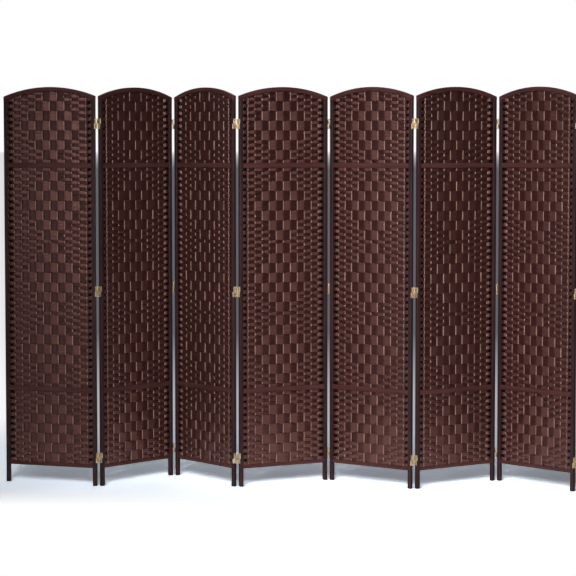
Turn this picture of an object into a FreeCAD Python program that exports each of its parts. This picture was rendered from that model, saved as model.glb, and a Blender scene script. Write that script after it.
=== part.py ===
# Woven fibre folding screen: eight arched panels joined in a zigzag by two-way hinges.
# Millimetres and degrees. +Z is up, +X runs along the screen, and -Y is the side that faces the viewer.
# In a panel's own frame x runs from its left edge to its right edge, y from front to back, z from the floor.
import FreeCAD, Part
import math
import os

os.makedirs("parts", exist_ok=True)

# Direction of each panel from the +X axis, from the left end of the screen to the right, as it stands.
PANEL_HEADINGS = (-19.7, 47.7, -51.4, 28.4, -37.3, 34.4, -47.0, 42.0)
PANEL_WIDTH = 446.5
PANEL_GAP = 5.5  # between two stiles when the panels lie in line

# Stiles: square bars with eased edges that run down to the floor as feet.
STILE_WIDTH = 18.0
STILE_DEPTH = 18.0
STILE_EASE = 2.5
FOOT_HEIGHT = 80.0  # floor to the underside of the bottom rail

# Rails: a bar at the bottom, two pairs of slats that clamp the sticks, and an arch as deep as the stiles.
BOTTOM_RAIL_HEIGHT = 16.0
BOTTOM_RAIL_SETBACK = 2.0  # behind the faces of the stiles, front and back
BOTTOM_RAIL_EASE = 3.0
SLAT_HEIGHT = 22.0
SLAT_THICKNESS = 5.0
SLAT_EASE = 1.5
TOP_RAIL_HEIGHT = 20.0
TOP_RAIL_EASE = 3.0
ARCH_RISE = 41.0  # crown of the arch above its two corners

# Clear heights of the woven bays, the upper one at its middle, under the crown of the arch.
LOWER_BAY_HEIGHT = 321.0
MIDDLE_BAY_HEIGHT = 981.0
UPPER_BAY_HEIGHT = 318.0

# Warp: thin upright sticks, and a thicker lath at each edge that the wefts turn round.
STICK_COUNT = 11
STICK_WIDTH = 4.4
STICK_DEPTH = 4.4
LATH_WIDTH = 9.0
LATH_DEPTH = 9.0
WEFT_TURN_GAP = 2.6  # between stile and lath, where the wefts pass
FIRST_STICK_OFFSET = 15.4  # inner face of the lath to the middle of the first stick
WEFT_THICKNESS = 3.0

# Two-way hinges: a leaf on each stile and two links, one above the other, with a barrel at each end.
HINGES_PER_JOINT = 3
HINGE_HEIGHT = 46.0
HINGE_ABOVE_FLOOR = 127.0  # middle of the lowest hinge
HINGE_BELOW_CORNER = 123.0  # middle of the highest hinge, below the panel's top corner
LEAF_INSET = 2.0  # edge of a leaf from the face of its stile
LEAF_THICKNESS = 1.0
EAR_THICKNESS = 2.0
LINK_THICKNESS = 2.4
BARREL_DIAMETER = 5.4
BARREL_WRAP = 120.0  # round part of a barrel, before it runs out into the link
BARREL_PROUD = 0.2  # between a barrel and the plane of the stiles' faces
EAR_CLEARANCE = 0.3  # between an ear and the leaf across the gap
LINK_CLEARANCE = 0.2  # between a link and the ear or link next to it

# Levels in a panel, from the floor up.
BOTTOM_RAIL_TOP = FOOT_HEIGHT + BOTTOM_RAIL_HEIGHT
LOWER_SLAT_BASE = BOTTOM_RAIL_TOP + LOWER_BAY_HEIGHT
LOWER_SLAT_TOP = LOWER_SLAT_BASE + SLAT_HEIGHT
UPPER_SLAT_BASE = LOWER_SLAT_TOP + MIDDLE_BAY_HEIGHT
UPPER_SLAT_TOP = UPPER_SLAT_BASE + SLAT_HEIGHT
PANEL_HEIGHT = UPPER_SLAT_TOP + UPPER_BAY_HEIGHT + TOP_RAIL_HEIGHT
CORNER_HEIGHT = PANEL_HEIGHT - ARCH_RISE
BAYS = (
    (BOTTOM_RAIL_TOP, LOWER_SLAT_BASE),
    (LOWER_SLAT_TOP, UPPER_SLAT_BASE),
    (UPPER_SLAT_TOP, PANEL_HEIGHT),
)

# The arch is one circle through both top corners and the crown.
ARCH_RADIUS = ((PANEL_WIDTH / 2) ** 2 + ARCH_RISE**2) / (2 * ARCH_RISE)
ARCH_CENTRE_Z = PANEL_HEIGHT - ARCH_RADIUS

# Places across a panel.
STILE_FACE = STILE_DEPTH / 2
STICK_FACE = STICK_DEPTH / 2
LATH_START = STILE_WIDTH + WEFT_TURN_GAP
LATH_END = LATH_START + LATH_WIDTH
FIRST_STICK = LATH_END + FIRST_STICK_OFFSET
STICK_PITCH = (PANEL_WIDTH - 2 * FIRST_STICK) / (STICK_COUNT - 1)

# A hinge's two pivot lines stand in front of and behind the stiles, in the middle of the gap.
PIVOT_DEPTH = STILE_FACE + BARREL_PROUD + BARREL_DIAMETER / 2
EAR_REACH = PANEL_GAP / 2 - LEAF_THICKNESS - EAR_CLEARANCE

ALONG = FreeCAD.Vector(1, 0, 0)
BACK = FreeCAD.Vector(0, 1, 0)
UP = FreeCAD.Vector(0, 0, 1)
COINCIDENT = 1e-6


def block(x_low, x_high, y_low, y_high, z_low, z_high):
    """A box between two corners."""
    corner = FreeCAD.Vector(x_low, y_low, z_low)
    return Part.makeBox(x_high - x_low, y_high - y_low, z_high - z_low, corner)


def edges_along(shape, axis):
    """The straight edges of a shape that run along one axis."""
    found = []
    for edge in shape.Edges:
        run = edge.Vertexes[1].Point - edge.Vertexes[0].Point
        if run.cross(axis).Length < COINCIDENT:
            found.append(edge)
    return found


def arch_disc(radius):
    """A disc about the centre of the arch, as deep as the stiles."""
    centre = FreeCAD.Vector(PANEL_WIDTH / 2, -STILE_FACE, ARCH_CENTRE_Z)
    return Part.makeCylinder(radius, STILE_DEPTH, centre, BACK)


def under_arch(shape):
    """Trims a piece that reaches past the underside of the top rail."""
    above = block(0, PANEL_WIDTH, -STILE_FACE, STILE_FACE, ARCH_CENTRE_Z, PANEL_HEIGHT)
    return shape.cut(above.cut(arch_disc(ARCH_RADIUS - TOP_RAIL_HEIGHT)))


def at_right_edge(shape):
    """The same piece mirrored to the other edge of the panel."""
    return shape.mirror(FreeCAD.Vector(PANEL_WIDTH / 2, 0, 0), ALONG)


def at_back(shape):
    """The same piece mirrored to the back of the panel."""
    return shape.mirror(FreeCAD.Vector(0, 0, 0), BACK)


def stiles():
    """Both stiles, which stand on the floor and carry the ends of the top rail."""
    bar = block(0, STILE_WIDTH, -STILE_FACE, STILE_FACE, 0, PANEL_HEIGHT)
    left = under_arch(bar.makeChamfer(STILE_EASE, edges_along(bar, UP)))
    return [left, at_right_edge(left)]


def top_rail():
    """The arched bar that closes the panel, with its two top edges eased."""
    ring = arch_disc(ARCH_RADIUS).cut(arch_disc(ARCH_RADIUS - TOP_RAIL_HEIGHT))
    span = block(0, PANEL_WIDTH, -STILE_FACE, STILE_FACE, ARCH_CENTRE_Z, PANEL_HEIGHT)
    bar = ring.common(span).Solids[0]
    crown = []
    for edge in bar.Edges:
        if isinstance(edge.Curve, Part.Circle) and abs(edge.Curve.Radius - ARCH_RADIUS) < COINCIDENT:
            crown.append(edge)
    return bar.makeChamfer(TOP_RAIL_EASE, crown)


def bottom_rail():
    """The bar between the feet, with its four long edges eased."""
    half = STILE_FACE - BOTTOM_RAIL_SETBACK
    bar = block(STILE_WIDTH, PANEL_WIDTH - STILE_WIDTH, -half, half, FOOT_HEIGHT, BOTTOM_RAIL_TOP)
    return bar.makeChamfer(BOTTOM_RAIL_EASE, edges_along(bar, ALONG))


def front_slat(base):
    """The front slat of a pair, which lies on the sticks, with its outer edges eased."""
    face = -STICK_FACE - SLAT_THICKNESS
    bar = block(STILE_WIDTH, PANEL_WIDTH - STILE_WIDTH, face, -STICK_FACE, base, base + SLAT_HEIGHT)
    outer = []
    for edge in edges_along(bar, ALONG):
        if abs(edge.CenterOfMass.y - face) < COINCIDENT:
            outer.append(edge)
    return bar.makeChamfer(SLAT_EASE, outer)


def rails():
    """The bottom rail, the top rail and the two pairs of slats."""
    pieces = [bottom_rail(), top_rail()]
    for base in (LOWER_SLAT_BASE, UPPER_SLAT_BASE):
        slat = front_slat(base)
        pieces += [slat, at_back(slat)]
    return pieces


def sticks():
    """The sticks, which run between the slats from the bottom rail to the arch."""
    pieces = []
    for number in range(STICK_COUNT):
        left = FIRST_STICK + number * STICK_PITCH - STICK_WIDTH / 2
        stick = block(left, left + STICK_WIDTH, -STICK_FACE, STICK_FACE, BOTTOM_RAIL_TOP, PANEL_HEIGHT)
        pieces.append(under_arch(stick))
    return pieces


def laths():
    """A lath beside each stile in each bay."""
    pieces = []
    for low, high in BAYS:
        lath = under_arch(block(LATH_START, LATH_END, -LATH_DEPTH / 2, LATH_DEPTH / 2, low, high))
        pieces += [lath, at_right_edge(lath)]
    return pieces


def weave():
    """The wefts of each bay as two skins, because they pass in front of and behind the sticks by turns."""
    pieces = []
    for low, high in BAYS:
        outer = -STICK_FACE - WEFT_THICKNESS
        front = under_arch(block(LATH_END, PANEL_WIDTH - LATH_END, outer, -STICK_FACE, low, high))
        pieces += [front, at_back(front)]
    return pieces


def left_leaf():
    """A plate on the stile, with an ear at the foot of its front edge and one at the head of its back edge.

    A hinge's own frame has x across the gap from its middle, and z up from the foot of the hinge.
    """
    plate_back = -PANEL_GAP / 2
    edge = STILE_FACE - LEAF_INSET
    tip = PIVOT_DEPTH + EAR_REACH
    plate = block(plate_back, plate_back + LEAF_THICKNESS, -edge, edge, 0, HINGE_HEIGHT)
    front_ear = block(plate_back, EAR_REACH, -tip, -edge, 0, EAR_THICKNESS)
    back_ear = block(plate_back, EAR_REACH, edge, tip, HINGE_HEIGHT - EAR_THICKNESS, HINGE_HEIGHT)
    return plate.fuse([front_ear, back_ear]).removeSplitter()


def right_leaf():
    """The left leaf turned half round the middle of the gap."""
    leaf = left_leaf()
    leaf.rotate(FreeCAD.Vector(0, 0, 0), UP, 180)
    return leaf


def lower_link():
    """A bar through the gap that widens at each end to a barrel round its pin."""
    low = EAR_THICKNESS + LINK_CLEARANCE
    high = (HINGE_HEIGHT - LINK_CLEARANCE) / 2
    half = LINK_THICKNESS / 2
    radius = BARREL_DIAMETER / 2
    wrap = math.radians(BARREL_WRAP / 2)
    side = radius * math.sin(wrap)
    shoulder = PIVOT_DEPTH + radius * math.cos(wrap)
    neck = shoulder - (side - half) * math.tan(wrap)
    outline = []
    for end in (1, -1):
        left_neck = FreeCAD.Vector(-end * half, end * neck, low)
        right_neck = FreeCAD.Vector(end * half, end * neck, low)
        left = FreeCAD.Vector(-end * side, end * shoulder, low)
        right = FreeCAD.Vector(end * side, end * shoulder, low)
        tip = FreeCAD.Vector(0, end * (PIVOT_DEPTH + radius), low)
        outline.append(Part.makeLine(right_neck, right))
        outline.append(Part.Arc(right, tip, left).toShape())
        outline.append(Part.makeLine(left, left_neck))
        outline.append(Part.makeLine(left_neck, FreeCAD.Vector(-end * half, -end * neck, low)))
    return Part.Face(Part.Wire(outline)).extrude(UP * (high - low))


def upper_link():
    """The lower link mirrored at half the hinge's height."""
    return lower_link().mirror(FreeCAD.Vector(0, 0, HINGE_HEIGHT / 2), UP)


def at_hinges(shape, x):
    """A hinge piece at every hinge of the edge whose gap has its middle at x."""
    lowest = HINGE_ABOVE_FLOOR - HINGE_HEIGHT / 2
    highest = CORNER_HEIGHT - HINGE_BELOW_CORNER - HINGE_HEIGHT / 2
    step = (highest - lowest) / (HINGES_PER_JOINT - 1)
    pieces = []
    for number in range(HINGES_PER_JOINT):
        pieces.append(shape.translated(FreeCAD.Vector(x, 0, lowest + number * step)))
    return pieces


def fold_side(joint):
    """1 where two panels fold back to back, about the pivots behind them, and -1 for front to front."""
    return 1 if joint % 2 == 0 else -1


def hinge_pieces(panel):
    """The leaves and links that a panel carries.

    A joint turns about one of its two pivot lines. Each link stays at rest on the other one,
    so it moves with the panel whose leaf holds it there.
    """
    leaves = []
    links = []
    if panel > 0:
        link = upper_link() if fold_side(panel - 1) > 0 else lower_link()
        leaves += at_hinges(right_leaf(), -PANEL_GAP / 2)
        links += at_hinges(link, -PANEL_GAP / 2)
    if panel < len(PANEL_HEADINGS) - 1:
        link = lower_link() if fold_side(panel) > 0 else upper_link()
        leaves += at_hinges(left_leaf(), PANEL_WIDTH + PANEL_GAP / 2)
        links += at_hinges(link, PANEL_WIDTH + PANEL_GAP / 2)
    return leaves, links


def panel_places():
    """Where each panel stands, with both leaves of a hinge on the pivot line that their joint turns about."""
    turns = [FreeCAD.Rotation(UP, heading) for heading in PANEL_HEADINGS]
    starts = [FreeCAD.Vector(0, 0, 0)]
    for joint in range(len(turns) - 1):
        depth = fold_side(joint) * PIVOT_DEPTH
        pivot = starts[joint] + turns[joint].multVec(FreeCAD.Vector(PANEL_WIDTH + PANEL_GAP / 2, depth, 0))
        starts.append(pivot - turns[joint + 1].multVec(FreeCAD.Vector(-PANEL_GAP / 2, depth, 0)))
    plan = FreeCAD.BoundBox()
    for start, turn in zip(starts, turns):
        for x in (0, PANEL_WIDTH):
            for y in (-STILE_FACE, STILE_FACE):
                plan.add(start + turn.multVec(FreeCAD.Vector(x, y, 0)))
    return [FreeCAD.Placement(start - plan.Center, turn) for start, turn in zip(starts, turns)]


def export(node, pieces, place):
    """Writes one node, with its pieces as separate solids where the panel stands."""
    placed = []
    for piece in pieces:
        solid = piece.Solids[0].copy()
        solid.Placement = place.multiply(solid.Placement)
        placed.append(solid)
    Part.makeCompound(placed).exportStep("parts/" + node + ".step")


PANEL_PIECES = {
    "stiles": stiles(),
    "rails": rails(),
    "sticks": sticks(),
    "laths": laths(),
    "weave": weave(),
}
for panel, place in enumerate(panel_places()):
    label = "panel_" + str(panel + 1) + "_"
    for name, pieces in PANEL_PIECES.items():
        export(label + name, pieces, place)
    leaves, links = hinge_pieces(panel)
    export(label + "hinge_leaves", leaves, place)
    export(label + "hinge_links", links, place)
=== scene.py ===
# %% [markdown]
# # A woven fibre folding screen
# Eight narrow wooden panels with arched tops stand in a zigzag. Each is filled with dark twisted paper cord, woven
# over thin sticks so that the floats draw diamonds, and brass hinges that fold both ways join the panels.
# The solid model comes first. It fixes every size and every joint, and the finished pieces are laid over it.

# %% Load the solid model
import math

import bpy
import numpy as np
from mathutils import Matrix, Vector


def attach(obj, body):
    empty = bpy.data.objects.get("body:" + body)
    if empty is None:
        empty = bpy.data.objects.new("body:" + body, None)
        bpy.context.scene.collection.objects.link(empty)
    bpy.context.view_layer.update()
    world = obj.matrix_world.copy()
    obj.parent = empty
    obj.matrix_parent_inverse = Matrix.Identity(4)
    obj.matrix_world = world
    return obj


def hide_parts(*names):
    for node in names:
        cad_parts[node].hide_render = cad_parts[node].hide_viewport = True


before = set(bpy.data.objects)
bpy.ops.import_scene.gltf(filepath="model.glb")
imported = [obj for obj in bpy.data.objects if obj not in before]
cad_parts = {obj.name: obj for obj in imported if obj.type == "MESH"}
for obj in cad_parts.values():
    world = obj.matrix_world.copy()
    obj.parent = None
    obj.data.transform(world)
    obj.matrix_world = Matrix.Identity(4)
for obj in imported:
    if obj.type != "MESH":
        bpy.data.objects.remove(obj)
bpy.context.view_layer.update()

# %% [markdown]
# ## Where each panel stands
# A panel is easiest to make flat on a bench. There u runs from its left edge to its right, w from the front to the
# back and z up from the floor, all in millimetres. The panels turn about pins that stand in front of and behind the
# stiles in turn, so each one starts where the pin of the last one leaves it. One function then sets bench points down.

# %% Panel places
PANEL_HEADINGS = (-19.7, 47.7, -51.4, 28.4, -37.3, 34.4, -47.0, 42.0)  # degrees from the x axis, left to right
PANEL_WIDTH = 446.5
PANEL_GAP = 5.5
STILE = 18.0  # a stile is square
PIN_DEPTH = 11.9  # from the middle of a panel to either line of pins


def turned(heading, along, back):
    """A step along and back in a panel's own directions, as a step in plan."""
    cosine, sine = math.cos(math.radians(heading)), math.sin(math.radians(heading))
    return np.array((along * cosine - back * sine, along * sine + back * cosine))


def panel_starts():
    """The left end of each panel's middle line, with the whole screen centred."""
    starts = [np.zeros(2)]
    for joint, heading in enumerate(PANEL_HEADINGS[:-1]):
        back = PIN_DEPTH if joint % 2 == 0 else -PIN_DEPTH
        pin = starts[-1] + turned(heading, PANEL_WIDTH + PANEL_GAP / 2, back)
        starts.append(pin - turned(PANEL_HEADINGS[joint + 1], -PANEL_GAP / 2, back))
    corners = [
        start + turned(heading, along, back)
        for start, heading in zip(starts, PANEL_HEADINGS)
        for along in (0, PANEL_WIDTH)
        for back in (-STILE / 2, STILE / 2)
    ]
    middle = (np.min(corners, axis=0) + np.max(corners, axis=0)) / 2
    return [start - middle for start in starts]


PANEL_STARTS = panel_starts()
PANELS = range(1, len(PANEL_HEADINGS) + 1)


def set_down(panel, points):
    """Bench points of a panel, in millimetres, as points of the shared frame, in metres."""
    along, back, up = np.asarray(points, float).T
    plan = turned(PANEL_HEADINGS[panel - 1], along, back)
    start = PANEL_STARTS[panel - 1]
    return np.column_stack((plan[0] + start[0], plan[1] + start[1], up)) / 1000


# %% [markdown]
# ## Meshes from rings
# Bars, sticks and wefts are all one idea: a cross-section carried along a line. A modelling tool could extrude and
# bevel each one by hand, but there are thousands, so a row of rings is skinned in numpy instead. Every point also
# keeps its place along and across the grain, which the wood and the cord read later for their figure.

# %% Skins and pieces
def skin(rings):
    """Points and faces of a closed skin over a row of rings, with its faces turned outwards."""
    count, size = rings.shape[:2]
    index = np.arange(count * size).reshape(count, size)
    near, far = index[:-1], index[1:]
    sides = np.stack((near, np.roll(near, -1, 1), np.roll(far, -1, 1), far), -1).reshape(-1, 4)
    ends = np.stack((index[0][::-1], index[-1]))
    points = rings.reshape(-1, 3)
    a, b, c, d = (points[sides[:, corner]] - points.mean(0) for corner in range(4))
    if np.einsum("ij,ij->i", a, np.cross(b, c) + np.cross(c, d)).sum() < 0:
        sides, ends = sides[:, ::-1], ends[:, ::-1]
    return points, [sides, ends]


def joined(skins):
    """Several skins as one: all their points, and their faces by number of corners."""
    points, faces, first = [], {}, 0
    for skin_points, skin_faces in skins:
        points.append(skin_points)
        for group in skin_faces:
            faces.setdefault(group.shape[1], []).append(group + first)
        first += len(skin_points)
    return np.concatenate(points), [np.concatenate(groups) for groups in faces.values()]


def make_piece(name, panel, points, faces, material, node, grain, crease=35):
    """One finished piece of a panel, which stands for a node of the solid model and moves with its panel."""
    mesh = bpy.data.meshes.new(name)
    corners = np.concatenate([group.ravel() for group in faces])
    sizes = np.concatenate([np.full(len(group), group.shape[1]) for group in faces])
    mesh.vertices.add(len(points))
    mesh.vertices.foreach_set("co", set_down(panel, points).ravel())
    mesh.loops.add(len(corners))
    mesh.loops.foreach_set("vertex_index", corners)
    mesh.polygons.add(len(sizes))
    mesh.polygons.foreach_set("loop_start", np.cumsum(sizes) - sizes)
    mesh.update(calc_edges=True)
    mesh.attributes.new("grain", "FLOAT_VECTOR", "POINT").data.foreach_set("vector", np.asarray(grain, float).ravel())
    mesh.shade_smooth()
    mesh.set_sharp_from_angle(angle=math.radians(crease))
    mesh.materials.append(material)
    piece = bpy.data.objects.new(name, mesh)
    bpy.context.scene.collection.objects.link(piece)
    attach(piece, f"panel_{panel}")
    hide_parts(node)


# %% [markdown]
# ## Colours and nodes
# Colours are picked as they look on a screen, in hex, while shaders reckon in linear light, so one function turns
# them. A second function adds a node with its settings and links. That is all the shader code needs.

# %% Colour and node helpers
def linear(code):
    """An sRGB hex colour as linear RGBA."""
    parts = [int(code[i : i + 2], 16) / 255 for i in (1, 3, 5)]
    return [p / 12.92 if p <= 0.04045 else ((p + 0.055) / 1.055) ** 2.4 for p in parts] + [1.0]


def add(tree, kind, inputs, **settings):
    """Adds a node with its settings. An input takes a value, or a link where it is given a socket."""
    node = tree.nodes.new("ShaderNode" + kind)
    for name, value in settings.items():
        setattr(node, name, value)
    for name, value in inputs.items():
        if isinstance(value, bpy.types.NodeSocket):
            tree.links.new(value, node.inputs[name])
        else:
            node.inputs[name].default_value = value
    return node


def new_material(name):
    """An empty material and its node tree."""
    material = bpy.data.materials.new(name)
    material.use_nodes = True
    material.node_tree.nodes.clear()
    return material, material.node_tree


MIX_A, MIX_B, MIXED = 6, 7, 2  # the colour sockets of a mix node

# %% [markdown]
# ## Stained pine
# The frames of such screens are planed pine, stained dark walnut and sprayed with a thin satin lacquer. Stain sinks
# deeper into the soft early wood than into the hard late wood, so the eye sees fine streaks along the bar, about
# 2 mm apart, and slow patches tens of millimetres long. A wood texture wrapped on the faces would break at the
# corners; reading the grain place of each point lets the streaks run through the bar as they do in timber.
# The rails took a redder stain than the stiles and the laths are near black for painted shade: the recipe serves three
# times.

# %% Stained pine
def stained_pine(name, deep, pale, cloudy, sheen):
    material, tree = new_material(name)
    grain = add(tree, "Attribute", {}, attribute_name="grain").outputs["Vector"]
    # Streaks 2 mm wide and about 90 mm long; patches 25 mm wide and 300 mm long.
    streak_place = add(tree, "Mapping", {"Vector": grain, "Scale": (1 / 90, 1 / 2, 1 / 2)})
    streaks = add(tree, "TexNoise", {"Vector": streak_place.outputs[0], "Scale": 1.0, "Detail": 4.0, "Roughness": 0.6})
    patch_place = add(tree, "Mapping", {"Vector": grain, "Scale": (1 / 300, 1 / 25, 1 / 25)})
    patches = add(tree, "TexNoise", {"Vector": patch_place.outputs[0], "Scale": 1.0, "Detail": 2.0})
    depth = add(tree, "MapRange", {"Value": streaks.outputs["Fac"], "From Min": 0.3, "From Max": 0.7})
    stain = add(tree, "Mix", {0: depth.outputs[0], MIX_A: linear(deep), MIX_B: linear(pale)}, data_type="RGBA")
    cloud = add(tree, "MapRange", {"Value": patches.outputs["Fac"], "From Min": 0.35, "From Max": 0.7, "To Max": 0.5})
    colour = add(tree, "Mix", {
        0: cloud.outputs[0], MIX_A: stain.outputs[MIXED], MIX_B: linear(cloudy),
    }, data_type="RGBA")
    gloss = add(tree, "MapRange", {"Value": streaks.outputs["Fac"], "To Min": 0.55, "To Max": 0.38})
    relief = add(tree, "Bump", {"Height": streaks.outputs["Fac"], "Strength": 0.25, "Distance": 0.0003})
    lacquer = add(tree, "BsdfPrincipled", {
        "Base Color": colour.outputs[MIXED], "Roughness": gloss.outputs[0], "Normal": relief.outputs[0],
        "IOR": 1.5, "Specular IOR Level": sheen,
    })
    add(tree, "OutputMaterial", {"Surface": lacquer.outputs[0]})
    return material


# Planed pine is near IOR 1.5 and roughness 0.5. The stain leaves it dull, so its mirror level stays far below 0.5.
STAINED_PINE = stained_pine("walnut_stained_pine", "#1E1011", "#3A2628", "#422C2E", 0.15)
RED_STAINED_PINE = stained_pine("red_walnut_stained_pine", "#311918", "#523130", "#5A3938", 0.15)
# Near black: a dark lath that is also a painted shade for the dark gaps at the panel edges.
BLACK_PINE_AND_PAINTED_SHADE = stained_pine("near_black_lath_painted_shade", "#070404", "#120A09", "#160D0B", 0.1)
print("materials:", STAINED_PINE.name, RED_STAINED_PINE.name, "and", BLACK_PINE_AND_PAINTED_SHADE.name)

# %% [markdown]
# ## Bars
# Every frame bar is planed square with its edges taken off. A box with a bevel modifier would do for the straight
# ones, but the stiles are cut off under the arch and the arch itself is curved, so each bar is a rounded section
# carried along its length. Close rings at the ends give the small chamfer that a sander leaves.

# %% A rounded section and a bar along its length
def rounded_section(width, depth, radius, steps=5):
    """Points round a rectangle with rounded corners, about its middle."""
    points = []
    for side, back, start in ((1, 1, 0), (-1, 1, 90), (-1, -1, 180), (1, -1, 270)):
        for angle in np.radians(np.linspace(start, start + 90, steps)):
            points.append((side * (width / 2 - radius) + radius * math.cos(angle),
                           back * (depth / 2 - radius) + radius * math.sin(angle)))
    return np.array(points)


def bar(section, stations, ease):
    """Rings of a section along stations, drawn in at both ends. Columns are along, across, through."""
    stations = [stations[0], stations[0] + ease, *stations[1:-1], stations[-1] - ease, stations[-1]]
    spread = np.ptp(section, axis=0)
    rings = []
    for number, along in enumerate(stations):
        drawn_in = 1 - 2 * ease / spread if number in (0, len(stations) - 1) else 1.0
        rings.append(np.column_stack((np.full(len(section), along), section * drawn_in)))
    return np.array(rings)


# %% [markdown]
# ## Stiles
# Two stiles carry each panel and run down past the bottom rail as feet. Their heads are cut to the curve of the arch,
# which lies on them. The top ring is therefore lifted point by point to the underside of the arch.

# %% Arch and stiles
PANEL_HEIGHT = 1780.0
ARCH_RISE = 41.0
ARCH_RADIUS = ((PANEL_WIDTH / 2) ** 2 + ARCH_RISE**2) / (2 * ARCH_RISE)
ARCH_CENTRE = PANEL_HEIGHT - ARCH_RADIUS
TOP_RAIL = 20.0
STILE_EASE = 2.8  # radius of a stile's long edges
END_EASE = 1.2  # what a sander takes off the end of a bar
STILE_RINGS = (0, 80, 900, 1700)  # heights; the topmost ones are lifted to the arch
STILE_SHOULDER = 2  # from the last ring but one up to the arch
STILE_SEAT = 0.2  # how far the head goes into the arch
LOG_LENGTH = 4000


def arch_level(along, radius):
    """Height of a circle about the arch's centre."""
    return ARCH_CENTRE + np.sqrt(radius**2 - (np.asarray(along) - PANEL_WIDTH / 2) ** 2)


def arch_underside(along):
    return arch_level(along, ARCH_RADIUS - TOP_RAIL)


def stile(middle):
    rings = bar(rounded_section(STILE, STILE, STILE_EASE), STILE_RINGS, END_EASE)[:, :, [1, 2, 0]]
    rings[:, :, 0] += middle
    rings[-1, :, :2] = rings[-2, :, :2]
    rings[-2, :, 2] = arch_underside(rings[-2, :, 0]) - STILE_SHOULDER
    rings[-1, :, 2] = arch_underside(rings[-1, :, 0]) + STILE_SEAT
    return rings


def wood_grain(points, order, panel, seed):
    """Grain places: the column along the timber first, moved to another part of the log for each piece."""
    shift = np.random.default_rng(1000 * panel + seed).uniform(0, LOG_LENGTH, 3)
    return points[:, order] + shift


for panel in PANELS:
    points, faces = joined([skin(stile(STILE / 2)), skin(stile(PANEL_WIDTH - STILE / 2))])
    make_piece(f"stiles_{panel}", panel, points, faces, STAINED_PINE, f"panel_{panel}_stiles",
               wood_grain(points, [2, 0, 1], panel, 1))
print("stiles:", 2 * len(PANELS), "each", round(float(arch_underside(STILE / 2))), "mm tall")

# %% [markdown]
# ## Rails and slats
# The arched top rail is sawn from a wide board, so it is a slice of a ring with upright ends. Below it, two pairs of
# thin slats clamp the sticks from the front and the back, and a bottom rail closes the panel 80 mm above the floor.

# %% Top rail, slats and bottom rail
BAY_LEVELS = ((96.0, 417.0), (439.0, 1420.0), (1442.0, 1760.0))
STICK = 4.4  # a stick is square
TOP_RAIL_EASE, TOP_RAIL_RINGS = 3.2, 49
SLAT_HEIGHT, SLAT_THICKNESS, SLAT_EASE = 22.0, 5.0, 1.6
BOTTOM_RAIL_HEIGHT, BOTTOM_RAIL_DEPTH, BOTTOM_RAIL_EASE = 16.0, 14.0, 3.0
RAIL_SEAT, RAIL_END_EASE = 0.5, 0.4  # how far a rail goes into the stiles, and the chamfer at its ends


def top_rail():
    section = rounded_section(TOP_RAIL, STILE, TOP_RAIL_EASE)
    rings = bar(section, list(np.linspace(0, PANEL_WIDTH, TOP_RAIL_RINGS)), END_EASE)
    rings[:, :, 1] = arch_level(rings[:, :, 0], ARCH_RADIUS - TOP_RAIL / 2 + rings[:, :, 1])
    return rings[:, :, [0, 2, 1]]


def cross_bar(height, depth, radius, back, level):
    places = [STILE - RAIL_SEAT, PANEL_WIDTH / 2, PANEL_WIDTH - STILE + RAIL_SEAT]
    rings = bar(rounded_section(height, depth, radius), places, RAIL_END_EASE)
    rings[:, :, 1] += level
    rings[:, :, 2] += back
    return rings[:, :, [0, 2, 1]]


def panel_rails():
    bottom = BAY_LEVELS[0][0] - BOTTOM_RAIL_HEIGHT / 2
    rails = [top_rail(), cross_bar(BOTTOM_RAIL_HEIGHT, BOTTOM_RAIL_DEPTH, BOTTOM_RAIL_EASE, 0, bottom)]
    for bay in (0, 1):
        level = BAY_LEVELS[bay][1] + SLAT_HEIGHT / 2
        for back in (-1, 1):
            place = back * (STICK + SLAT_THICKNESS) / 2
            rails.append(cross_bar(SLAT_HEIGHT, SLAT_THICKNESS, SLAT_EASE, place, level))
    return rails


for panel in PANELS:
    skins = [skin(rings) for rings in panel_rails()]
    points, faces = joined(skins)
    make_piece(f"rails_{panel}", panel, points, faces, RED_STAINED_PINE, f"panel_{panel}_rails",
               wood_grain(points, [0, 1, 2], panel, 2))
print("rails and slats:", len(skins), "in each panel")

# %% [markdown]
# ## Split bamboo sticks
# The warp is thin sticks of split bamboo, left pale. Where a stick passes in front of a weft it shows as a short tan
# tick, and those ticks make the pattern sparkle. Bamboo has straight fibres about half a millimetre apart and every
# stick has its own shade. Half a millimetre is finer than a pixel here, so the fibres are drawn 1.5 mm apart.

# %% Split bamboo
def split_bamboo():
    material, tree = new_material("split_bamboo")
    grain = add(tree, "Attribute", {}, attribute_name="grain").outputs["Vector"]
    fibre_place = add(tree, "Mapping", {"Vector": grain, "Scale": (1 / 60, 1 / 1.5, 1 / 1.5)})
    fibres = add(tree, "TexNoise", {"Vector": fibre_place.outputs[0], "Scale": 1.0, "Detail": 3.0})
    stick_place = add(tree, "Mapping", {"Vector": grain, "Scale": (1 / 180, 1 / 20, 1 / 20)})
    shade = add(tree, "TexNoise", {"Vector": stick_place.outputs[0], "Scale": 1.0, "Detail": 1.0})
    tone = add(tree, "MapRange", {"Value": shade.outputs["Fac"], "From Min": 0.3, "From Max": 0.7})
    body = add(tree, "Mix", {0: tone.outputs[0], MIX_A: linear("#74564D"), MIX_B: linear("#A07F74")}, data_type="RGBA")
    line = add(tree, "MapRange", {"Value": fibres.outputs["Fac"], "From Min": 0.4, "From Max": 0.65, "To Max": 0.45})
    colour = add(tree, "Mix", {
        0: line.outputs[0], MIX_A: body.outputs[MIXED], MIX_B: linear("#5C4239"),
    }, data_type="RGBA")
    relief = add(tree, "Bump", {"Height": fibres.outputs["Fac"], "Strength": 0.3, "Distance": 0.0003})
    cane = add(tree, "BsdfPrincipled", {
        "Base Color": colour.outputs[MIXED], "Roughness": 0.5, "Normal": relief.outputs[0], "IOR": 1.5,
    })
    add(tree, "OutputMaterial", {"Surface": cane.outputs[0]})
    return material


SPLIT_BAMBOO = split_bamboo()
print("material:", SPLIT_BAMBOO.name)

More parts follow.
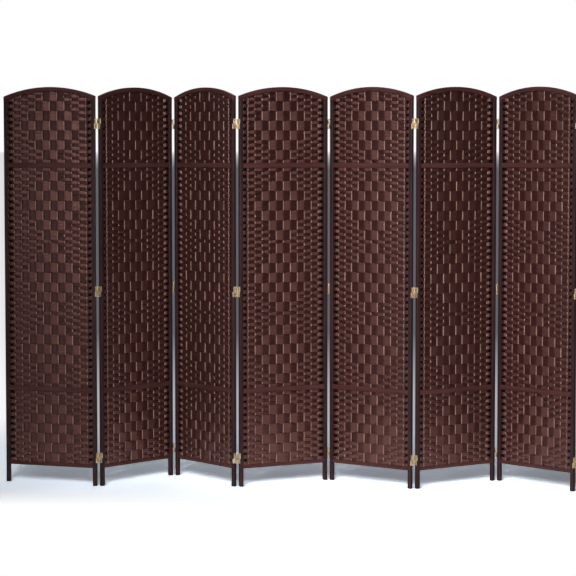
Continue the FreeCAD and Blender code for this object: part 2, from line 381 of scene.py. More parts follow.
# %% Sticks and edge laths
FIRST_STICK = 45.0
STICK_PITCH = 35.65
STICK_COUNT = 11
STICK_EASE = 1.3
STICK_FOOT, STICK_HEAD = 1, 1.5  # how far a stick goes into the bottom rail and into the arch
# A flat lath. The solid one is a square bar along its outer edge, but the photo shows wide black squares here.
# Its width and near-black colour are partly the lath and partly a painted shade for the gap beside it.
LATH_WIDTH, LATH_DEPTH, LATH_EASE = 16.0, 5.0, 1.2
LATH_MIDDLE = 28.6
LATH_DROP = 2  # how far below the heads of the sticks the upper laths end
UPRIGHT_END_EASE = 0.3
STICK_SHIFT, PANEL_SHIFT = 700.0, 9000  # moves in the grain, so that each stick has a shade of its own
STICK_PLACES = FIRST_STICK + STICK_PITCH * np.arange(STICK_COUNT)


def upright(section, middle, low, high):
    """An upright stick or lath from one height to another."""
    rings = bar(section, [low, (low + high) / 2, high], UPRIGHT_END_EASE)[:, :, [1, 2, 0]]
    rings[:, :, 0] += middle
    return rings


def stick_top(middle):
    return float(arch_underside(middle)) + STICK_HEAD


stick_section = rounded_section(STICK, STICK, STICK_EASE)
lath_section = rounded_section(LATH_WIDTH, LATH_DEPTH, LATH_EASE)
for panel in PANELS:
    sticks = [skin(upright(stick_section, u, BAY_LEVELS[0][0] - STICK_FOOT, stick_top(u))) for u in STICK_PLACES]
    points, faces = joined(sticks)
    shift = np.repeat(np.arange(STICK_COUNT) * STICK_SHIFT, len(sticks[0][0]))[:, None]
    grain = points[:, [2, 0, 1]] + shift + PANEL_SHIFT * panel
    make_piece(f"sticks_{panel}", panel, points, faces, SPLIT_BAMBOO, f"panel_{panel}_sticks",
               grain)
    laths = []
    for middle in (LATH_MIDDLE, PANEL_WIDTH - LATH_MIDDLE):
        for low, high in BAY_LEVELS[:2]:
            laths.append(skin(upright(lath_section, middle, low, high)))
        laths.append(skin(upright(lath_section, middle, BAY_LEVELS[2][0], stick_top(middle) - LATH_DROP)))
    points, faces = joined(laths)
    make_piece(f"laths_{panel}", panel, points, faces, BLACK_PINE_AND_PAINTED_SHADE, f"panel_{panel}_laths",
               wood_grain(points, [2, 0, 1], panel, 3))
print("sticks:", STICK_COUNT, "and laths:", len(laths), "in each panel")

# %% [markdown]
# ## Twisted paper cord
# The weft is kraft paper, dyed dark brown, twisted into a cord about 4 mm wide and brushed with lacquer. Four cords
# lie side by side and are woven as one flat ribbon. The dye alone is almost a black red. Most of the brown the eye
# sees is the broad shine of the lacquer on the floats that face the light, so the colour is written dark and the shine
# is strong. Each cord took the dye and the lacquer a little differently, and the twist makes slanting lines about
# 2 mm apart. Painted shade darkens the valleys between the cords, the seams between the wefts and the sunk part of
# each float. At the edges, where the cord was pulled round a lath, the lacquer is rubbed off, so it is duller there,
# and it is painted in the darkest dye as painted shade.

# %% Twisted paper cord
RUBBED_AND_PAINTED_SHADE = -0.2  # the shade at the edges: duller, with the lacquer rubbed off, and in the darkest dye as painted shade; elsewhere shades run from 0 to 1


def twisted_paper_cord():
    material, tree = new_material("twisted_paper_cord")
    grain = add(tree, "Attribute", {}, attribute_name="grain").outputs["Vector"]
    split = add(tree, "SeparateXYZ", {"Vector": grain})
    # The grain place holds the length along the weft, the place across it, and the shade of the cord: its own tone,
    # with painted shade.
    lay = add(tree, "CombineXYZ", {"X": split.outputs["X"], "Y": split.outputs["Y"]})
    twist_place = add(tree, "Mapping", {
        "Vector": lay.outputs[0], "Rotation": (0, 0, math.radians(40)), "Scale": (1 / 2, 1 / 2, 1),
    })
    twist = add(tree, "TexWave", {"Vector": twist_place.outputs[0], "Scale": 0.31, "Distortion": 1.5, "Detail": 1.0})
    dye_place = add(tree, "Mapping", {"Vector": lay.outputs[0], "Scale": (1 / 22, 1 / 3, 1)})
    dye = add(tree, "TexNoise", {"Vector": dye_place.outputs[0], "Scale": 1.0, "Detail": 3.0})
    patchy = add(tree, "MapRange", {"Value": dye.outputs["Fac"], "From Min": 0.3, "From Max": 0.7})
    # Where the shade is 0 or below, in the painted shade of valleys, seams and edges, the cord takes the darkest dye.
    shade = add(tree, "Math", {0: patchy.outputs[0], 1: split.outputs["Z"]}, operation="MULTIPLY")
    dyed = add(tree, "Mix", {
        0: shade.outputs[0], MIX_A: linear("#1C0A09"), MIX_B: linear("#361413"),
    }, data_type="RGBA")
    line = add(tree, "MapRange", {"Value": twist.outputs["Fac"], "From Min": 0.5, "From Max": 1.0, "To Max": 0.4})
    colour = add(tree, "Mix", {
        0: line.outputs[0], MIX_A: dyed.outputs[MIXED], MIX_B: linear("#100706"),
    }, data_type="RGBA")
    relief = add(tree, "Bump", {"Height": twist.outputs["Fac"], "Strength": 0.15, "Distance": 0.0004})
    gloss = add(tree, "MapRange", {
        "Value": split.outputs["Z"], "From Min": RUBBED_AND_PAINTED_SHADE, "From Max": 1.0, "To Min": 0.53, "To Max": 0.36,
    })
    # Lacquer starts at IOR 1.5 and roughness 0.4. The index was raised until the lit floats matched the photo, and the
    # mirror light is tinted because it passes a dyed film.
    paper = add(tree, "BsdfPrincipled", {
        "Base Color": colour.outputs[MIXED], "Roughness": gloss.outputs[0], "Normal": relief.outputs[0],
        "IOR": 1.65, "Specular IOR Level": 1.0, "Specular Tint": linear("#FFB8B0"),
    })
    add(tree, "OutputMaterial", {"Surface": paper.outputs[0]})
    return material


TWISTED_PAPER_CORD = twisted_paper_cord()
print("material:", TWISTED_PAPER_CORD.name)

# %% [markdown]
# ## The pattern of the weave
# The ground is a plain weave: each weft goes over one stick and under the next, and its neighbour does the opposite.
# The diamonds come from rows of three wefts, whose middle one is shifted by a stick, so that the three go over and
# under together and read as a square. Seven such rows make a diamond, widest at the fourth, and one plain weft
# divides it from the next. A stick is in front of a weft where the rule says so, and nothing else has to be drawn.

# %% Which side of a stick a weft passes
WEFTS_IN_ROW = 3
DIAMOND_ROWS = 7
DIAMOND_REACH = 4  # sticks from the middle one to the widest point
MIDDLE_CROSSING = 6
WEFTS_IN_REPEAT = DIAMOND_ROWS * WEFTS_IN_ROW + 1
WEFT_COUNTS = (22, 67, 22)
FIRST_WEFTS = (0, -1, -1)  # place in the repeat of the lowest weft of each bay
CROSSINGS = np.concatenate(([LATH_MIDDLE], STICK_PLACES, [PANEL_WIDTH - LATH_MIDDLE]))


def weft_side(weft, crossing):
    """-1 where the weft passes in front of the stick, 1 where it passes behind."""
    in_front = (crossing + weft) % 2 == 0
    row, strand = divmod(weft % WEFTS_IN_REPEAT, WEFTS_IN_ROW)
    reach = DIAMOND_REACH - abs(row - DIAMOND_ROWS // 2)
    if row < DIAMOND_ROWS and strand == 1 and abs(crossing - MIDDLE_CROSSING) <= reach:
        in_front = not in_front
    return -1 if in_front else 1


for weft in range(6, 0, -1):
    print("".join("=" if weft_side(weft, crossing) < 0 else "|" for crossing in range(len(CROSSINGS))))

# %% [markdown]
# ## Weaving
# A weft is a ribbon with four ridges in front and behind. It runs almost straight from one side of a stick to the
# other side of the next, so each float has a lit half and a dark half. At the edge it lies flat on the lath and turns
# round it into the weft next to it. All wefts of a bay share the same stations along the panel, so numpy can weave a
# whole bay at once. Under the arch the wefts stop at the curve. Small seeded shifts keep the rows from looking
# machine made.

# %% Ribbon section and stations
CORD_COUNT = 4
RIBBON_THICKNESS = 2.2
RIBBON_HEIGHT = 1.16  # of the room a weft has, so that neighbours press together
VALLEY = 0.45  # what is left of the thickness between two cords
BEND = 0.2  # the stiff ribbon runs nearly straight between two sticks and bends over them
STEPS_BETWEEN_STICKS = 6
# Shares of the way from the middle of a lath to the first stick. The weft lies flat on the lath, then swings across.
EDGE_SHARES = np.array((0.0, 0.23, 0.46, 0.58, 0.69, 0.80, 0.91))
SWING_START, SWING_END = EDGE_SHARES[[2, -1]]
# Round a lath: distance outwards from its middle, depth and lift as shares, and height as a share.
TURN = np.array((
    (9.3, 0.00, 1.00, 0.80), (9.3, 0.25, 0.86, 0.82), (9.2, 0.50, 0.66, 0.86),
    (8.7, 0.76, 0.40, 0.92), (7.7, 0.94, 0.18, 0.97), (5.9, 1.00, 0.05, 1.00),
))


def ribbon_section(height):
    """Places through and across the ribbon, and which cord each belongs to. Valleys lie between two cords."""
    cord = height / CORD_COUNT
    half = RIBBON_THICKNESS / 2
    front = [(0.0, -height / 2, 0.0)]
    for number in range(CORD_COUNT):
        middle = (number + 0.5) * cord - height / 2
        front.append((half, middle, number))
        if number < CORD_COUNT - 1:
            front.append((VALLEY * half, middle + cord / 2, number + 0.5))
    top = [(0.0, height / 2, CORD_COUNT - 1.0)]
    back = [(-through, across, number) for through, across, number in reversed(front[1:])]
    return np.array(front + top + back)


def stations():
    """Places along the panel, the crossing before each one, and how far it has swung to the next."""
    places, before, swing = [], [], []
    spans = len(CROSSINGS) - 1
    for span in range(spans):
        shares = swung = np.arange(STEPS_BETWEEN_STICKS) / STEPS_BETWEEN_STICKS
        if span == 0:
            shares = EDGE_SHARES
            swung = np.clip((shares - SWING_START) / (SWING_END - SWING_START), 0, 1)
        if span == spans - 1:
            shares = np.append(0.0, 1 - EDGE_SHARES[:0:-1])
            swung = np.clip((shares - 1 + SWING_END) / (SWING_END - SWING_START), 0, 1)
        eased = (1 - np.cos(math.pi * swung)) / 2
        places.extend(CROSSINGS[span] + shares * (CROSSINGS[span + 1] - CROSSINGS[span]))
        before.extend([span] * len(shares))
        swing.extend(swung + BEND * (eased - swung))
    return np.array(places + [CROSSINGS[-1]]), np.array(before + [spans - 1]), np.array(swing + [1.0])


PLACES, BEFORE, SWING = stations()
print("stations along a weft:", len(PLACES) + 2 * len(TURN))


# %% The line of each weft
ROW_WANDER = 0.18  # how far a weft strays from its even level
SLACK = (0.4, 0.9)  # air between a weft and the stick it passes
WAVE_HEIGHT, WAVE_STEP = 0.2, 70  # the slow rise and fall along a weft, and the length of one radian of it
FULL_TURN = 6.28  # radians


def weft_lines(bay, random):
    """Levels of a bay's wefts, and their places along, through and above that level, one row for each weft."""
    low, high = BAY_LEVELS[bay]
    count = WEFT_COUNTS[bay]
    pitch = (high - low) / count
    numbers = FIRST_WEFTS[bay] + np.arange(count)
    levels = low + pitch * (np.arange(count) + 0.5) + random.normal(0, ROW_WANDER, count)
    sides = np.array([[weft_side(weft, crossing) for crossing in range(len(CROSSINGS))] for weft in numbers])
    reach = np.full(len(CROSSINGS), STICK / 2)
    reach[[0, -1]] = LATH_DEPTH / 2
    depths = sides * (reach + RIBBON_THICKNESS / 2 + random.uniform(*SLACK, sides.shape))
    swung = depths[:, BEFORE] + (depths[:, BEFORE + 1] - depths[:, BEFORE]) * SWING

    # The turns at both edges, towards the weft above or below that the cord goes on into.
    even = numbers % 2 == 0
    first, last = np.arange(count) == 0, np.arange(count) == count - 1
    lift_left = np.where(even, np.where(first, 0, -0.5), np.where(last, 0, 0.5))[:, None] * pitch
    lift_right = np.where(even, np.where(last, 0, 0.5), np.where(first, 0, -0.5))[:, None] * pitch
    out, share, lift, _ = TURN.T
    along = np.concatenate((CROSSINGS[0] - out, PLACES, CROSSINGS[-1] + out[::-1]))
    along = np.tile(along, (count, 1))
    depth = np.concatenate((depths[:, :1] * share, swung, depths[:, -1:] * share[::-1]), axis=1)
    rise = np.concatenate((lift_left * lift, np.zeros(swung.shape), lift_right * lift[::-1]), axis=1)
    wave = random.normal(0, WAVE_HEIGHT, (count, 1))
    rise += wave * np.sin(along / WAVE_STEP + random.uniform(0, FULL_TURN, (count, 1)))
    return levels, along, depth, rise


# %% Shade and grain of the cords
CORD_SHADES = (0.2, 1.0)
GLOSS_AND_PAINTED_SHADE_MIDDLE, GLOSS_AND_PAINTED_SHADE_SWING = 0.65, 0.35  # painted shade: a float is darker where it is sunk than where it stands proud, and duller there too
WEFT_LENGTH, WEFT_SHIFT = 900, 40.0  # moves in the grain, so that no two wefts look alike


def cord_grain(depth, length, section, random):
    """Length along the weft, place across it, and the cord's shade: its dye and lacquer, with painted shade."""
    count = len(depth)
    through, across, cord = section.T
    shades = random.uniform(*CORD_SHADES, (count, CORD_COUNT))
    nearest = np.floor(cord).astype(int)
    # Painted shade: the valleys between the cords and the seams between the wefts get shade 0, the darkest dye.
    on_ridge = (cord == nearest) & (through != 0)
    proud = np.clip(-depth[:, :, None] * np.sign(through) / (STICK / 2 + RIBBON_THICKNESS / 2), -1, 1)
    shade = shades[:, None, nearest] * on_ridge * (GLOSS_AND_PAINTED_SHADE_MIDDLE + GLOSS_AND_PAINTED_SHADE_SWING * proud)
    # Towards the edges the cord grows duller, as the lacquer is rubbed off, and takes the darkest dye: painted shade.
    round_lath = np.full(len(TURN), RUBBED_AND_PAINTED_SHADE)
    edge_dull_and_painted_shade = np.interp(PLACES, CROSSINGS[[0, 1, -2, -1]], (RUBBED_AND_PAINTED_SHADE, 0.0, 0.0, RUBBED_AND_PAINTED_SHADE))
    edge_dull_and_painted_shade = np.concatenate((round_lath, edge_dull_and_painted_shade, round_lath))[None, :, None]
    travelled = np.concatenate((np.zeros((count, 1)), np.cumsum(length[:, 1:], axis=1)), axis=1)
    grain = np.empty((*depth.shape, len(section), 3))
    grain[..., 0] = (travelled + random.uniform(0, WEFT_LENGTH, (count, 1)))[:, :, None]
    grain[..., 1] = across + (np.arange(count) * WEFT_SHIFT)[:, None, None]
    grain[..., 2] = np.where(edge_dull_and_painted_shade < 0, edge_dull_and_painted_shade, shade)
    return grain


# %% Weave one bay
LEAST_ROOM = 0.5  # a weft ends where less than this is left under the arch
ARCH_TUCK = 3  # how far a weft may go up into the arch, where it is hidden


def weave_bay(panel, bay):
    """Points, faces and grain of all wefts of a bay."""
    random = np.random.default_rng(100 * panel + bay)
    levels, along, depth, rise = weft_lines(bay, random)
    pitch = (BAY_LEVELS[bay][1] - BAY_LEVELS[bay][0]) / len(levels)
    section = ribbon_section(RIBBON_HEIGHT * pitch)
    through, across, _ = section.T
    tall = TURN[:, 3]
    height = np.concatenate((tall, np.ones(len(PLACES)), tall[::-1]))

    # Each ring stands square to the line of the weft.
    run_along, run_back = np.gradient(along, axis=1), np.gradient(depth, axis=1)
    length = np.hypot(run_along, run_back)
    u = along[:, :, None] + (run_back / length)[:, :, None] * through
    w = depth[:, :, None] - (run_along / length)[:, :, None] * through
    z = (levels[:, None] + rise)[:, :, None] + height[None, :, None] * across
    rings = np.stack((u, w, z), axis=-1)
    grain = cord_grain(depth, length, section, random)

    skins, grains = [], []
    for weft, level in enumerate(levels):
        kept = np.ones(along.shape[1], bool)
        if bay == len(BAY_LEVELS) - 1:
            kept = level - pitch / 2 < arch_underside(along[weft]) - LEAST_ROOM
            ceiling = arch_underside(rings[weft, :, :, 0]) + ARCH_TUCK
            rings[weft, :, :, 2] = np.minimum(rings[weft, :, :, 2], ceiling)
        if kept.sum() > 1:
            skins.append(skin(rings[weft, kept]))
            grains.append(grain[weft, kept].reshape(-1, 3))
    points, faces = joined(skins)
    return points, faces, np.concatenate(grains)


# %% Weave every bay
BAY_NAMES = ("lower", "middle", "upper")
for panel in PANELS:
    for bay, name in enumerate(BAY_NAMES):
        points, faces, grain = weave_bay(panel, bay)
        make_piece(f"weave_{panel}_{name}", panel, points, faces, TWISTED_PAPER_CORD,
                   f"panel_{panel}_weave", grain, crease=180)
    print("panel", panel, "woven;", len(faces[0]), "faces in its upper bay")

# %% [markdown]
# ## Brass
# The hinges are pressed from brass sheet and tumbled to a satin finish. Brass is a metal, so its colour is the colour
# of its reflections: pale gold where it mirrors the lamp and the white sweep, and dark where it mirrors the weave.
# Rolling and tumbling leave fine lines a few tenths of a millimetre apart. They are drawn 1 mm apart, or they would
# not show. The screws and rivets are steel, blackened in oil.

# %% Satin brass and blackened steel
def metal(name, dark, light, rough_low, rough_high, streak):
    material, tree = new_material(name)
    grain = add(tree, "Attribute", {}, attribute_name="grain").outputs["Vector"]
    place = add(tree, "Mapping", {"Vector": grain, "Scale": (1 / streak, 1 / (6 * streak), 1 / (6 * streak))})
    lines = add(tree, "TexNoise", {"Vector": place.outputs[0], "Scale": 1.0, "Detail": 3.0})
    tone = add(tree, "MapRange", {"Value": lines.outputs["Fac"], "From Min": 0.3, "From Max": 0.7})
    colour = add(tree, "Mix", {0: tone.outputs[0], MIX_A: linear(dark), MIX_B: linear(light)}, data_type="RGBA")
    gloss = add(tree, "MapRange", {"Value": lines.outputs["Fac"], "To Min": rough_low, "To Max": rough_high})
    relief = add(tree, "Bump", {"Height": lines.outputs["Fac"], "Strength": 0.1, "Distance": 0.0002})
    surface = add(tree, "BsdfPrincipled", {
        "Base Color": colour.outputs[MIXED], "Metallic": 1.0,
        "Roughness": gloss.outputs[0], "Normal": relief.outputs[0],
    })
    add(tree, "OutputMaterial", {"Surface": surface.outputs[0]})
    return material


SATIN_BRASS = metal("satin_brass", "#C8B492", "#DCCBB0", 0.4, 0.55, 1.0)
BLACKENED_STEEL = metal("blackened_steel", "#2A2522", "#4A423C", 0.35, 0.5, 0.6)
print("materials:", SATIN_BRASS.name, "and", BLACKENED_STEEL.name)

# %% [markdown]
# ## Two-way hinges
# Each hinge lets a joint fold both ways. It has two leaves, one on each stile, and two links, one above the other.
# A link has a barrel at each end, in front of and behind the stiles. Every leaf holds one barrel in front and the
# other behind with a small ear and a pin, so the panels can swing about either line of pins.
# The sheet parts are outlines pushed through their thickness, and the barrels and screws are turned on a lathe. The
# screws are sunk flush, because the links pass within half a millimetre of them.

# %% Hinge parts in the hinge's own frame: x across the gap, y back, z up from its foot
HINGE_HEIGHT = 46.0
HINGE_FEET = (104.0, 848.5, 1593.0)
LEAF_HALF_DEPTH = 7.0
LEAF_THICKNESS, LEAF_CORNER = 1.0, 1.5
EAR_THICKNESS, EAR_REACH = 2.0, 1.45
EAR_ROOT, EAR_BACK, EAR_NECK = 0.6, 1.2, 1.6  # how far the ear's corners lie behind the leaf's edge and the pin
LINK_THICKNESS, LINK_CLEARANCE, LINK_EASE = 2.4, 0.2, 0.2
LINK_INSET = 1.5  # from a line of pins to the end of the link's plate, inside the barrel
BARREL_RADIUS, BARREL_EASE, BARREL_STEPS = 2.7, 0.4, 28
SCREW_INSET = 9.0  # of the outer screws, from the ends of a leaf
# Turned profiles, as pairs of height and radius.
PIN_HEAD = ((0, 0.7), (0.3, 1.1), (0.7, 1.3))
SCREW_HEAD = ((-0.4, 2.3), (0.0, 2.3), (0.1, 2.1), (0.12, 1.0))
RIVET_HEAD = ((0.1, 2.1), (0.2, 1.6))
RIVET_LIFT = 0.5


def pushed(outline, low, high, axis, ease=0.25):
    """A flat outline pushed through from low to high along an axis, with its edges taken off."""
    outline = np.asarray(outline, float)
    middle = (outline.min(0) + outline.max(0)) / 2
    small = middle + (outline - middle) * (1 - 2 * ease / np.ptp(outline, axis=0))
    levels = ((low, small), (low + ease, outline), (high - ease, outline), (high, small))
    rings = np.array([np.column_stack((np.full(len(flat), level), flat)) for level, flat in levels])
    return skin(rings[:, :, {"x": [0, 1, 2], "z": [1, 2, 0]}[axis]])


def lathe(centre, axis, profile, steps=20):
    """A turned part: pairs of height and radius along an axis through the centre."""
    angles = np.linspace(0, 2 * math.pi, steps, endpoint=False)
    rings = np.array([
        np.column_stack((np.full(steps, level), radius * np.cos(angles), radius * np.sin(angles)))
        for level, radius in profile
    ])
    return skin(rings[:, :, {"x": [0, 1, 2], "z": [1, 2, 0]}[axis]] + np.asarray(centre, float))


def left_leaf():
    outer, inner = -PANEL_GAP / 2, -PANEL_GAP / 2 + LEAF_THICKNESS
    plate = rounded_section(2 * LEAF_HALF_DEPTH, HINGE_HEIGHT, LEAF_CORNER) + (0, HINGE_HEIGHT / 2)
    parts = [pushed(plate, outer, inner, "x")]
    bend = np.radians(np.linspace(180, 360, 13))
    ear = [(outer, -LEAF_HALF_DEPTH + EAR_ROOT), (outer, -PIN_DEPTH + EAR_BACK)]
    ear += [(EAR_REACH * math.cos(angle), -PIN_DEPTH + EAR_REACH * math.sin(angle)) for angle in bend]
    ear += [(EAR_REACH, -PIN_DEPTH + EAR_NECK), (inner, -LEAF_HALF_DEPTH + EAR_ROOT)]
    tall = PIN_HEAD[-1][0]
    upper_head = [(tall - level, radius) for level, radius in reversed(PIN_HEAD)]
    for side, low, head_low, head in (
        (1, 0.0, -tall, PIN_HEAD),
        (-1, HINGE_HEIGHT - EAR_THICKNESS, HINGE_HEIGHT, upper_head),
    ):
        parts.append(pushed(np.array(ear) * (1, side), low, low + EAR_THICKNESS, "z"))
        parts.append(lathe((0, -side * PIN_DEPTH, head_low), "z", head))
    return parts


def leaf_screws():
    face = -PANEL_GAP / 2 + LEAF_THICKNESS
    levels = (SCREW_INSET, HINGE_HEIGHT / 2, HINGE_HEIGHT - SCREW_INSET)
    return [lathe((face, 0, level), "x", SCREW_HEAD) for level in levels]


def lower_link():
    low, high = EAR_THICKNESS + LINK_CLEARANCE, (HINGE_HEIGHT - LINK_CLEARANCE) / 2
    half = LINK_THICKNESS / 2
    neck = PIN_DEPTH - LINK_INSET
    plate = [(-half, -neck), (half, -neck), (half, neck), (-half, neck)]
    barrel = [
        (low, BARREL_RADIUS - BARREL_EASE), (low + BARREL_EASE, BARREL_RADIUS),
        (high - BARREL_EASE, BARREL_RADIUS), (high, BARREL_RADIUS - BARREL_EASE),
    ]
    parts = [pushed(plate, low, high, "z", LINK_EASE)]
    parts += [lathe((0, side * PIN_DEPTH, 0), "z", barrel, BARREL_STEPS) for side in (-1, 1)]
    return parts


def link_rivet():
    half = LINK_THICKNESS / 2
    profile = [(-half - level, radius) for level, radius in reversed(RIVET_HEAD)]
    profile += [(half + level, radius) for level, radius in RIVET_HEAD]
    return [lathe((0, 0, HINGE_HEIGHT / 4 + RIVET_LIFT), "x", profile)]


print("a leaf has", len(left_leaf()), "parts and a link has", len(lower_link()))


# %% Hang the hinges on every panel
def half_turn(parts):
    """The same parts for the other side of the gap."""
    return [(points * (-1, -1, 1), faces) for points, faces in parts]


def upside_down(parts):
    """The same parts mirrored at half the hinge's height."""
    return [
        (points * (1, 1, -1) + (0, 0, HINGE_HEIGHT), [group[:, ::-1] for group in faces])
        for points, faces in parts
    ]


def at_hinges(parts, gap_middle):
    """The same parts at each of the three hinges of an edge."""
    return [(points + (gap_middle, 0, foot), faces) for foot in HINGE_FEET for points, faces in parts]


for panel in PANELS:
    leaves, links, screws, rivets = [], [], [], []
    turn = upside_down if panel % 2 == 0 else list  # so that the links of two neighbours lie one above the other
    edges = [(-PANEL_GAP / 2, half_turn), (PANEL_WIDTH + PANEL_GAP / 2, list)]
    if panel == PANELS[0]:
        edges = edges[1:]
    if panel == PANELS[-1]:
        edges = edges[:1]
    for gap_middle, facing in edges:
        leaves += at_hinges(facing(left_leaf()), gap_middle)
        screws += at_hinges(facing(leaf_screws()), gap_middle)
        links += at_hinges(turn(lower_link()), gap_middle)
        rivets += at_hinges(turn(link_rivet()), gap_middle)
    for name, parts, material, node in (
        ("hinge_leaves", leaves, SATIN_BRASS, "hinge_leaves"),
        ("hinge_screws", screws, BLACKENED_STEEL, "hinge_leaves"),
        ("hinge_links", links, SATIN_BRASS, "hinge_links"),
        ("hinge_rivets", rivets, BLACKENED_STEEL, "hinge_links"),
    ):
        points, faces = joined(parts)
        make_piece(f"{name}_{panel}", panel, points, faces, material, f"panel_{panel}_{node}", points)
print("hinges hung on", len(PANELS), "panels")

# %% [markdown]
# ## White sweep
# The screen stands on a wide white paper sweep. Its lit part loses light with the distance from the lamp, so what the
# camera sees of it is evened out: the paper is shown paler towards the back, in a cool white, and it keeps the shadow
# of the feet and rails. In front, beside and further off it is plain white, but for a painted soft shadow that widens
# behind the screen and greys the narrow gaps between the panels. Shiny parts mirror it bright near the screen and dark
# further in front, and dull parts get only the light that plain paper sends back.

# %% White sweep
def white_sweep():
    material, tree = new_material("white_paper_sweep")
    path = add(tree, "LightPath", {})
    seen = add(tree, "Math", {
        0: path.outputs["Is Camera Ray"], 1: path.outputs["Is Transmission Ray"],
    }, operation="MAXIMUM")
    # Places on the floor in metres: x to the right, y to the back, with the screen in the middle.
    place = add(tree, "TexCoord", {}).outputs["Object"]
    fibre = add(tree, "TexNoise", {"Vector": place, "Scale": 3.0, "Detail": 2.0})
    paper = add(tree, "Mix", {
        0: fibre.outputs["Fac"], MIX_A: (0.38, 0.38, 0.38, 1), MIX_B: (0.42, 0.42, 0.42, 1),
    }, data_type="RGBA")
    aside, along, _ = add(tree, "SeparateXYZ", {"Vector": place}).outputs
    near = add(tree, "MapRange", {"Value": along, "From Min": -2.6, "From Max": 0.6})
    bright = add(tree, "Mix", {
        0: near.outputs[0], MIX_A: (0.48, 0.51, 0.55, 1), MIX_B: (2.1, 2.3, 2.55, 1),
    }, data_type="RGBA")
    close = add(tree, "MapRange", {"Value": along, "From Min": -1.2, "From Max": -0.4})
    mirrored = add(tree, "Mix", {
        0: close.outputs[0], MIX_A: (0.05, 0.05, 0.05, 1), MIX_B: (2.0, 2.0, 2.0, 1),
    }, data_type="RGBA")
    shown = add(tree, "Mix", {
        0: path.outputs["Is Glossy Ray"], MIX_A: paper.outputs[MIXED], MIX_B: mirrored.outputs[MIXED],
    }, data_type="RGBA")
    shown = add(tree, "Mix", {
        0: seen.outputs[0], MIX_A: shown.outputs[MIXED], MIX_B: bright.outputs[MIXED],
    }, data_type="RGBA")
    lit = add(tree, "BsdfDiffuse", {"Color": shown.outputs[MIXED]})
    # Out of reach of the lamps: white, but for a painted shadow that widens and darkens behind the screen.
    half_width = add(tree, "MapRange", {"Value": along, "From Max": 100.0, "To Min": 1.3, "To Max": 13.3}, clamp=False)
    from_middle = add(tree, "Math", {0: aside}, operation="ABSOLUTE").outputs[0]
    share = add(tree, "Math", {0: from_middle, 1: half_width.outputs[0]}, operation="DIVIDE")
    outside = add(tree, "MapRange", {"Value": share.outputs[0], "From Min": 0.88, "From Max": 1.15})
    distant = add(tree, "MapRange", {"Value": along, "From Min": 120.0, "From Max": 400.0})
    in_front = add(tree, "Math", {0: along, 1: 0.0}, operation="LESS_THAN")
    clear = add(tree, "Math", {0: outside.outputs[0], 1: distant.outputs[0]}, operation="MAXIMUM")
    clear = add(tree, "Math", {0: clear.outputs[0], 1: in_front.outputs[0]}, operation="MAXIMUM")
    deeper = add(tree, "MapRange", {"Value": along, "From Min": 3.5, "From Max": 8.0})
    # Painted shadow: pale grey near the screen, darker from 3.5 m back.
    painted_shadow = add(tree, "Mix", {
        0: deeper.outputs[0], MIX_A: (0.42, 0.44, 0.47, 1), MIX_B: (0.12, 0.13, 0.145, 1),
    }, data_type="RGBA")
    sweep = add(tree, "Mix", {
        0: clear.outputs[0], MIX_A: painted_shadow.outputs[MIXED], MIX_B: (1, 1, 1, 1),
    }, data_type="RGBA")
    glow = add(tree, "Emission", {"Color": sweep.outputs[MIXED], "Strength": 1.0})
    # Where the lit paper gives way to that: behind, beside and in front of the screen.
    behind = add(tree, "MapRange", {"Value": along, "From Min": 0.6, "From Max": 2.4})
    beside = add(tree, "MapRange", {"Value": from_middle, "From Min": 1.35, "From Max": 2.0})
    front = add(tree, "MapRange", {"Value": along, "From Min": -0.1, "From Max": -0.6})
    far = add(tree, "Math", {0: behind.outputs[0], 1: beside.outputs[0]}, operation="MAXIMUM")
    far = add(tree, "Math", {0: far.outputs[0], 1: front.outputs[0]}, operation="MAXIMUM")
    far = add(tree, "Math", {0: far.outputs[0], 1: seen.outputs[0]}, operation="MULTIPLY")
    surface = add(tree, "MixShader", {0: far.outputs[0], 1: lit.outputs[0], 2: glow.outputs[0]})
    add(tree, "OutputMaterial", {"Surface": surface.outputs[0]})
    return material


FLOOR_REACH, FLOOR_LEVEL = 400.0, -0.0005  # metres; just below the feet
floor_corners = [(x * FLOOR_REACH, y * FLOOR_REACH, FLOOR_LEVEL) for x, y in ((-1, -1), (1, -1), (1, 1), (-1, 1))]
floor_mesh = bpy.data.meshes.new("floor")
floor_mesh.from_pydata(floor_corners, [], [(0, 1, 2, 3)])
floor_mesh.materials.append(white_sweep())
floor = bpy.data.objects.new("floor", floor_mesh)
bpy.context.scene.collection.objects.link(floor)
print("floor:", floor_mesh.materials[0].name)

# %% [markdown]
# ## Soft light
# One large soft box hangs in front of the screen, a little to the left and above eye level. Its place can be read off
# the weave: the half of each float that is turned to it is bright, and the panels that are turned away stay dark. A
# grid in front of it narrows its beam, so the light is fullest right of the middle and fades to the left, and a faint
# box far to the left fills in the first panel. A wide, cool box far behind lights the back without washing out the
# shadow on the floor. The world adds very little light. It is white where it is seen, and behind the screen where it
# is mirrored.

# %% Soft light
def soft_box(name, place, target, power, size, colour, spread):
    """A square lamp at a place in metres, turned to a target. Power is in watts and spread in degrees."""
    lamp = bpy.data.lights.new(name, "AREA")
    lamp.energy = power
    lamp.size = size
    lamp.color = colour
    lamp.spread = math.radians(spread)
    box = bpy.data.objects.new(name, lamp)
    box.location = place
    box.rotation_euler = (Vector(target) - Vector(place)).to_track_quat("-Z", "Y").to_euler()
    box.visible_camera = False
    bpy.context.scene.collection.objects.link(box)


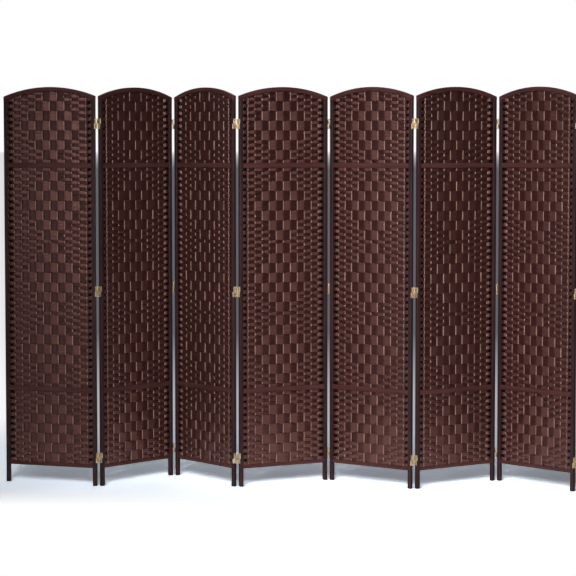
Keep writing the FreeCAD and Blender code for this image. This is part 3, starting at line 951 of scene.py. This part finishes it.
WHITE, COOL = (1, 1, 1), (0.9, 0.96, 1.0)
soft_box("key", (-0.65, -4.7, 2.8), (0.45, 0, 0.7), power=48, size=2.2, colour=WHITE, spread=58)
soft_box("side_fill", (-6.0, -0.6, 1.2), (-1.2, 0, 0.9), power=12, size=1.5, colour=WHITE, spread=180)
soft_box("back_fill", (0.4, 6.0, 1.3), (0, 0, 0.9), power=130, size=3.0, colour=COOL, spread=180)

world = bpy.data.worlds.new("white_studio")
bpy.context.scene.world = world
world.use_nodes = True
world.node_tree.nodes.clear()
sky = world.node_tree
path = add(sky, "LightPath", {})
direction = add(sky, "SeparateXYZ", {"Vector": add(sky, "TexCoord", {}).outputs["Generated"]})
behind = add(sky, "MapRange", {"Value": direction.outputs["Y"], "From Min": 0.4, "From Max": 0.8})
mirrored = add(sky, "Math", {0: path.outputs["Is Glossy Ray"], 1: behind.outputs[0]}, operation="MULTIPLY")
seen = add(sky, "Math", {0: path.outputs["Is Camera Ray"], 1: mirrored.outputs[0]}, operation="MAXIMUM")
seen = add(sky, "Math", {0: seen.outputs[0], 1: path.outputs["Is Transmission Ray"]}, operation="MAXIMUM")
fill = add(sky, "Background", {"Color": (0.92, 0.97, 1.0, 1), "Strength": 0.05})
white = add(sky, "Background", {"Color": (1, 1, 1, 1), "Strength": 1.0})
both = add(sky, "MixShader", {0: seen.outputs[0], 1: fill.outputs[0], 2: white.outputs[0]})
add(sky, "OutputWorld", {"Surface": both.outputs[0]})
print("light: three soft boxes in a white studio")

# %% [markdown]
# ## Camera
# A long lens from ten metres away keeps the panels upright and nearly free of perspective, as in the photo. The
# height and tilt come from how much of the floor shows between the feet in front and the feet behind.

# %% Camera
CAMERA_PLACE = (-0.1703, -10.0149, 1.5327)  # metres
CAMERA_TILT = 3.719  # degrees down
LENS, SENSOR = 139.8, 36.0  # millimetres
camera_data = bpy.data.cameras.new("camera")
camera_data.sensor_fit = "HORIZONTAL"
camera_data.sensor_width = SENSOR
camera_data.lens = LENS
camera_data.clip_end = 2.5 * FLOOR_REACH
camera = bpy.data.objects.new("camera", camera_data)
camera.location = CAMERA_PLACE
camera.rotation_euler = (math.radians(90 - CAMERA_TILT), 0, 0)
bpy.context.scene.collection.objects.link(camera)
bpy.context.scene.camera = camera
bpy.context.scene.view_settings.view_transform = "Standard"
print("camera stands", round(-camera.location.y, 2), "m in front of the screen")
